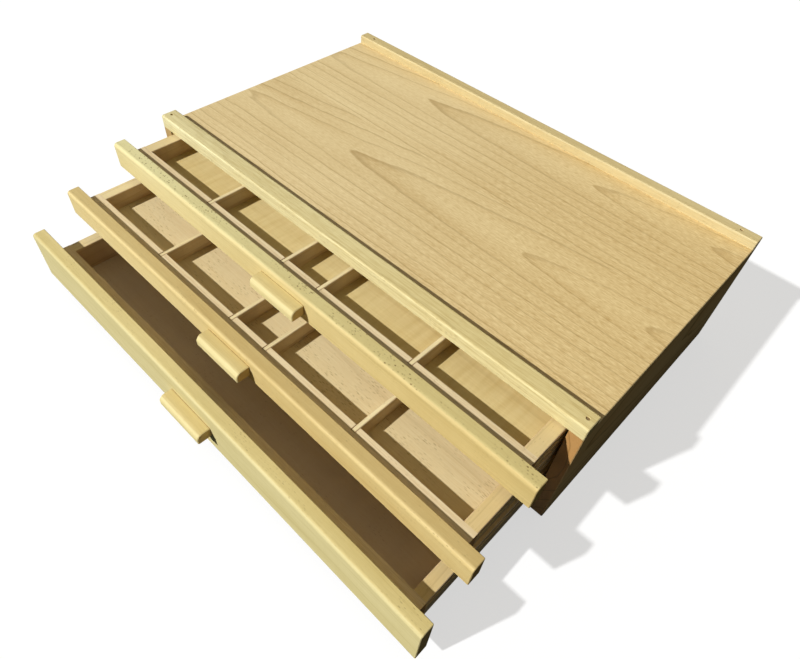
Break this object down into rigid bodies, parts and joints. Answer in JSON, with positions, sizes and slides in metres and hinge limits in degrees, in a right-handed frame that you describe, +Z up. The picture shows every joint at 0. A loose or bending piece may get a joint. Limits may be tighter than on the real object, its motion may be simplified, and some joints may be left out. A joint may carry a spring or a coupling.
{
  "type": "pastel drawer box",
  "caption": "Low beech box with sliding drawers for sticks of pastel: shallow ones with loose dividers and a deeper open one, each with a small finger bar.",
  "frame": {"origin": "centre of the cabinet's underside", "axes": "+X to the right when facing the drawers, +Y to the back, away from the drawer fronts, +Z up"},
  "size_m": [0.4, 0.3619, 0.107],
  "materials": {
    "beech": "sanded, waxed",
    "beech_strip": "sanded, bare",
    "beech_plywood": "sanded, waxed",
    "floor_plywood": "sanded, bare",
    "steel": "plain"
  },
  "bodies": {
    "cabinet": {"side_panel_left": "beech", "side_panel_right": "beech", "top_panel": "beech_plywood", "bottom_panel": "beech_plywood", "back_panel": "beech", "front_rail": "beech", "back_rail": "beech", "base_rail": "beech", "rail_pins": "steel", "runner_upper_left": "beech", "runner_upper_right": "beech", "runner_middle_left": "beech", "runner_middle_right": "beech", "runner_lower_left": "beech", "runner_lower_right": "beech"},
    "upper_drawer": {"upper_front": "beech", "upper_handle": "beech", "upper_handle_screws": "steel", "upper_front_wall": "beech", "upper_back_wall": "beech", "upper_left_wall": "beech", "upper_right_wall": "beech", "upper_floor": "floor_plywood", "upper_divider_1": "beech_strip", "upper_divider_2": "beech_strip", "upper_divider_3": "beech_strip", "upper_divider_4": "beech_strip"},
    "middle_drawer": {"middle_front": "beech", "middle_handle": "beech", "middle_handle_screws": "steel", "middle_front_wall": "beech", "middle_back_wall": "beech", "middle_left_wall": "beech", "middle_right_wall": "beech", "middle_floor": "floor_plywood", "middle_divider_1": "beech_strip", "middle_divider_2": "beech_strip", "middle_divider_3": "beech_strip", "middle_divider_4": "beech_strip"},
    "lower_drawer": {"lower_front": "beech", "lower_handle": "beech", "lower_handle_screws": "steel", "lower_front_wall": "beech", "lower_back_wall": "beech", "lower_left_wall": "beech", "lower_right_wall": "beech", "lower_floor": "floor_plywood"}
  },
  "joints": [
    {"name": "upper_slide", "type": "slide", "parent": "cabinet", "child": "upper_drawer", "axis": [0, -1, 0], "range_m": [-0.034, 0.126]},
    {"name": "middle_slide", "type": "slide", "parent": "cabinet", "child": "middle_drawer", "axis": [0, -1, 0], "range_m": [-0.0793, 0.0807]},
    {"name": "lower_slide", "type": "slide", "parent": "cabinet", "child": "lower_drawer", "axis": [0, -1, 0], "range_m": [-0.1144, 0.0456]}
  ]
}
